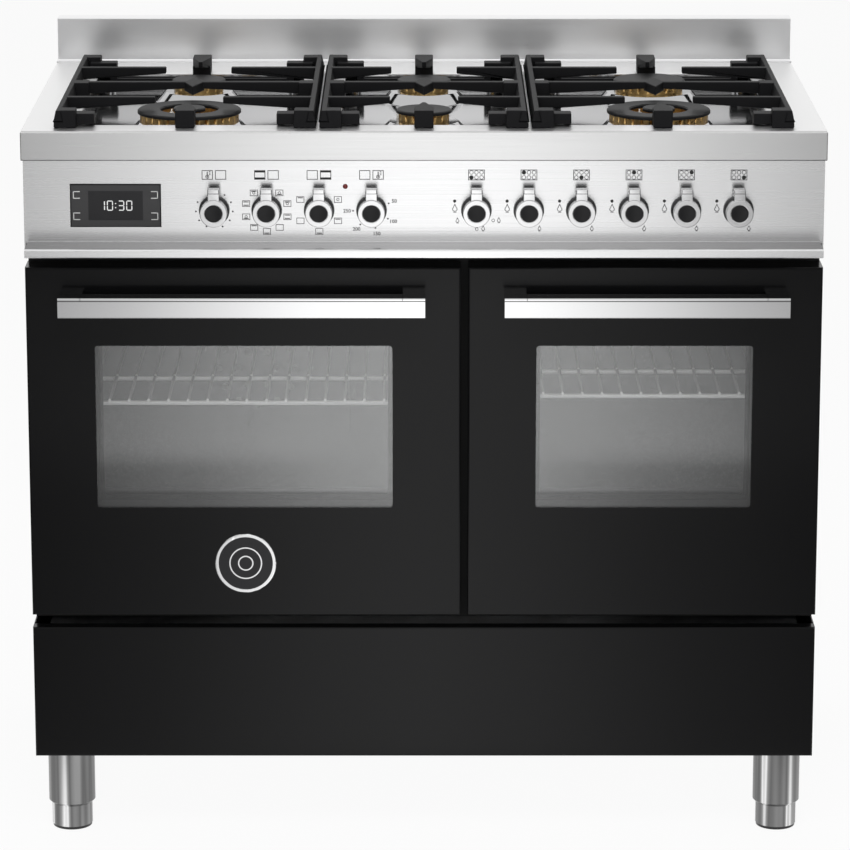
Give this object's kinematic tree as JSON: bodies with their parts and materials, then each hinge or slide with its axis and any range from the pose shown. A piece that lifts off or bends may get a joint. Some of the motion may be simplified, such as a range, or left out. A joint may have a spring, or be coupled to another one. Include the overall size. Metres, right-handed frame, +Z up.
{
  "type": "range cooker",
  "caption": "Freestanding dual-fuel range cooker with gas hob, cast pan supports, lever knobs, a wide and a narrow drop-door oven, storage flap and levelling legs.",
  "frame": {"origin": "on the floor under the middle of the cooker's overall box", "axes": "+Z up, +X to the viewer's right, the front faces -Y"},
  "size_m": [1, 0.65, 0.98],
  "materials": {
    "stainless": "brushed along the width",
    "enamel": "gloss black enamel",
    "galvanised": "zinc coated sheet",
    "oven_enamel": "dark speckled enamel",
    "chrome": "polished",
    "leg_steel": "brushed round the leg",
    "element_metal": "heat-darkened",
    "glazing": "grey tinted",
    "dark_plastic": "smooth",
    "red_lens": "clear red",
    "burner_brass": "machined",
    "cast": "matt black enamel",
    "alloy": "die cast",
    "ceramic": "glazed ceramic",
    "gasket": "woven"
  },
  "bodies": {
    "carcass": {"back_panel": "galvanised", "backguard": "stainless", "base_tray": "galvanised", "burner_caps": "cast", "clock": "dark_plastic", "control_panel": "stainless", "door_seals": "gasket", "fan_cover": "galvanised", "fan_motor": "galvanised", "front_frame": "enamel", "gas_manifold": "galvanised", "gas_taps": "galvanised", "grill_elements": "element_metal", "hinge_arms": "galvanised", "hob_top": "stainless", "indicator_lens": "red_lens", "injector_cups": "alloy", "lamp_lenses": "glazing", "leg_tubes": "leg_steel", "oven_cavity_left": "oven_enamel", "oven_cavity_right": "oven_enamel", "oven_switches": "dark_plastic", "rack_left": "chrome", "rack_rails": "chrome", "rack_right": "chrome", "side_panel_left": "enamel", "side_panel_right": "enamel", "single_burners": "burner_brass", "spark_igniters": "ceramic", "storage_liner": "galvanised", "supply_pipes": "galvanised", "wok_burners": "burner_brass"},
    "left_door": {"door_left_panel": "enamel", "door_left_glass": "glazing", "door_left_liner": "galvanised", "door_left_handle": "chrome", "badge": "chrome"},
    "right_door": {"door_right_panel": "enamel", "door_right_glass": "glazing", "door_right_liner": "galvanised", "door_right_handle": "chrome"},
    "flap": {"storage_flap": "enamel"},
    "fan": {"fan_blade": "galvanised"},
    "oven_knob_1": {"oven_knob_1": "chrome"},
    "oven_knob_2": {"oven_knob_2": "chrome"},
    "oven_knob_3": {"oven_knob_3": "chrome"},
    "oven_knob_4": {"oven_knob_4": "chrome"},
    "burner_knob_1": {"burner_knob_1": "chrome"},
    "burner_knob_2": {"burner_knob_2": "chrome"},
    "burner_knob_3": {"burner_knob_3": "chrome"},
    "burner_knob_4": {"burner_knob_4": "chrome"},
    "burner_knob_5": {"burner_knob_5": "chrome"},
    "burner_knob_6": {"burner_knob_6": "chrome"},
    "support_left": {"pan_support_left": "cast"},
    "support_centre": {"pan_support_centre": "cast"},
    "support_right": {"pan_support_right": "cast"},
    "levelling_foot_front_left": {"foot_front_left": "leg_steel"},
    "levelling_foot_front_right": {"foot_front_right": "leg_steel"},
    "levelling_foot_rear_left": {"foot_rear_left": "leg_steel"},
    "levelling_foot_rear_right": {"foot_rear_right": "leg_steel"}
  },
  "joints": [
    {"name": "left_door_hinge", "type": "hinge", "parent": "carcass", "child": "left_door", "pos_m": [-0.226, -0.246, 0.317], "axis": [1, 0, 0], "range_deg": [0, 90], "stiffness_Nm_per_rad": 4, "springref_deg": -34.38},
    {"name": "right_door_hinge", "type": "hinge", "parent": "carcass", "child": "right_door", "pos_m": [0.27675, -0.246, 0.317], "axis": [1, 0, 0], "range_deg": [0, 90], "stiffness_Nm_per_rad": 3, "springref_deg": -34.38},
    {"name": "flap_hinge", "type": "hinge", "parent": "carcass", "child": "flap", "pos_m": [0, -0.262, 0.1195], "axis": [1, 0, 0], "range_deg": [0, 90], "stiffness_Nm_per_rad": 0.4, "springref_deg": -40.11},
    {"name": "oven_knob_1_turn", "type": "hinge", "parent": "carcass", "child": "oven_knob_1", "pos_m": [-0.2608, -0.266, 0.822], "axis": [0, -1, 0], "range_deg": [-270, 0]},
    {"name": "oven_knob_2_turn", "type": "hinge", "parent": "carcass", "child": "oven_knob_2", "pos_m": [-0.1956, -0.266, 0.822], "axis": [0, -1, 0], "continuous": true},
    {"name": "oven_knob_3_turn", "type": "hinge", "parent": "carcass", "child": "oven_knob_3", "pos_m": [-0.1304, -0.266, 0.822], "axis": [0, -1, 0], "continuous": true},
    {"name": "oven_knob_4_turn", "type": "hinge", "parent": "carcass", "child": "oven_knob_4", "pos_m": [-0.0652, -0.266, 0.822], "axis": [0, -1, 0], "range_deg": [-270, 0]},
    {"name": "burner_knob_1_turn", "type": "hinge", "parent": "carcass", "child": "burner_knob_1", "pos_m": [0.0652, -0.266, 0.822], "axis": [0, -1, 0], "range_deg": [0, 210]},
    {"name": "burner_knob_2_turn", "type": "hinge", "parent": "carcass", "child": "burner_knob_2", "pos_m": [0.1304, -0.266, 0.822], "axis": [0, -1, 0], "range_deg": [0, 210]},
    {"name": "burner_knob_3_turn", "type": "hinge", "parent": "carcass", "child": "burner_knob_3", "pos_m": [0.1956, -0.266, 0.822], "axis": [0, -1, 0], "range_deg": [0, 210]},
    {"name": "burner_knob_4_turn", "type": "hinge", "parent": "carcass", "child": "burner_knob_4", "pos_m": [0.2608, -0.266, 0.822], "axis": [0, -1, 0], "range_deg": [0, 210]},
    {"name": "burner_knob_5_turn", "type": "hinge", "parent": "carcass", "child": "burner_knob_5", "pos_m": [0.326, -0.266, 0.822], "axis": [0, -1, 0], "range_deg": [0, 210]},
    {"name": "burner_knob_6_turn", "type": "hinge", "parent": "carcass", "child": "burner_knob_6", "pos_m": [0.3912, -0.266, 0.822], "axis": [0, -1, 0], "range_deg": [0, 210]},
    {"name": "fan_spin", "type": "hinge", "parent": "carcass", "child": "fan", "pos_m": [-0.226, 0.19, 0.5225], "axis": [0, 1, 0], "continuous": true},
    {"name": "left_support_lift", "type": "slide", "parent": "carcass", "child": "support_left", "axis": [0, 0, 1], "range_m": [0, 0.06]},
    {"name": "centre_support_lift", "type": "slide", "parent": "carcass", "child": "support_centre", "axis": [0, 0, 1], "range_m": [0, 0.06]},
    {"name": "right_support_lift", "type": "slide", "parent": "carcass", "child": "support_right", "axis": [0, 0, 1], "range_m": [0, 0.06]},
    {"name": "front_left_foot_level", "type": "slide", "parent": "carcass", "child": "levelling_foot_front_left", "axis": [0, 0, -1], "range_m": [0, 0.025]},
    {"name": "front_right_foot_level", "type": "slide", "parent": "carcass", "child": "levelling_foot_front_right", "axis": [0, 0, -1], "range_m": [0, 0.025]},
    {"name": "rear_left_foot_level", "type": "slide", "parent": "carcass", "child": "levelling_foot_rear_left", "axis": [0, 0, -1], "range_m": [0, 0.025]},
    {"name": "rear_right_foot_level", "type": "slide", "parent": "carcass", "child": "levelling_foot_rear_right", "axis": [0, 0, -1], "range_m": [0, 0.025]}
  ]
}
